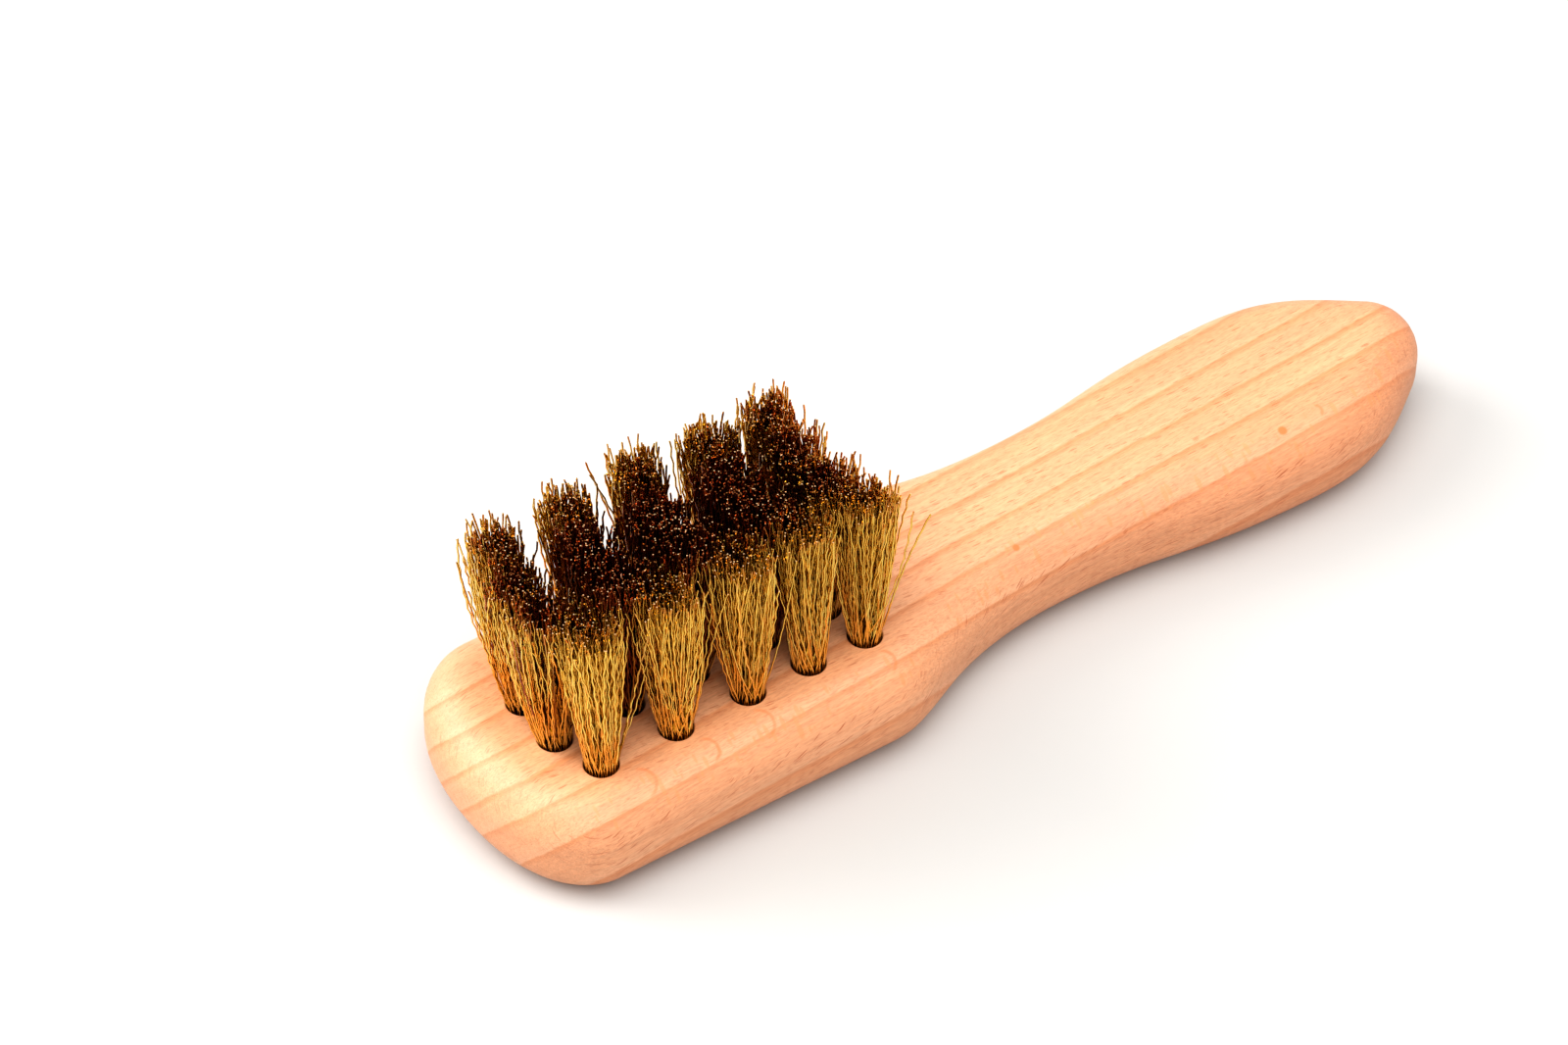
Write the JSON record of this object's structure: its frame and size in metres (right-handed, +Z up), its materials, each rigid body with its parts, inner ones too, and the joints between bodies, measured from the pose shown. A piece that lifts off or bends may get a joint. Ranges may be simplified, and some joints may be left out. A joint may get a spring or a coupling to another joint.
{
  "type": "brass wire brush",
  "caption": "Small hand brush for suede and leather: a flat beech head with crimped brass wire tufts in rows, running through a waist into an oval grip.",
  "frame": {"origin": "middle of the flat back, halfway along the brush, in the plane that the brush rests on", "axes": "+X from the head to the grip, along the length; +Z up through the wires; +Y across the width"},
  "size_m": [0.144, 0.0374, 0.0365],
  "materials": {
    "beech": "oiled beech, sanded smooth, straight grain along the length",
    "brass_wire": "bright drawn wire, crimped, dark with shade between the wires",
    "anchor_steel": "plain flat wire, hidden in the wood"
  },
  "bodies": {
    "root": {"beech_body": "beech", "brass_tuft_a1": "brass_wire", "brass_tuft_a2": "brass_wire", "brass_tuft_a3": "brass_wire", "brass_tuft_a4": "brass_wire", "brass_tuft_a5": "brass_wire", "brass_tuft_b1": "brass_wire", "brass_tuft_b2": "brass_wire", "brass_tuft_b3": "brass_wire", "brass_tuft_b4": "brass_wire", "brass_tuft_b5": "brass_wire", "brass_tuft_c1": "brass_wire", "brass_tuft_c2": "brass_wire", "brass_tuft_c3": "brass_wire", "brass_tuft_c4": "brass_wire", "brass_tuft_c5": "brass_wire", "brass_tuft_d1": "brass_wire", "brass_tuft_d2": "brass_wire", "brass_tuft_d3": "brass_wire", "brass_tuft_d4": "brass_wire", "brass_tuft_d5": "brass_wire", "anchor_a1": "anchor_steel", "anchor_a2": "anchor_steel", "anchor_a3": "anchor_steel", "anchor_a4": "anchor_steel", "anchor_a5": "anchor_steel", "anchor_b1": "anchor_steel", "anchor_b2": "anchor_steel", "anchor_b3": "anchor_steel", "anchor_b4": "anchor_steel", "anchor_b5": "anchor_steel", "anchor_c1": "anchor_steel", "anchor_c2": "anchor_steel", "anchor_c3": "anchor_steel", "anchor_c4": "anchor_steel", "anchor_c5": "anchor_steel", "anchor_d1": "anchor_steel", "anchor_d2": "anchor_steel", "anchor_d3": "anchor_steel", "anchor_d4": "anchor_steel", "anchor_d5": "anchor_steel"}
  },
  "joints": []
}
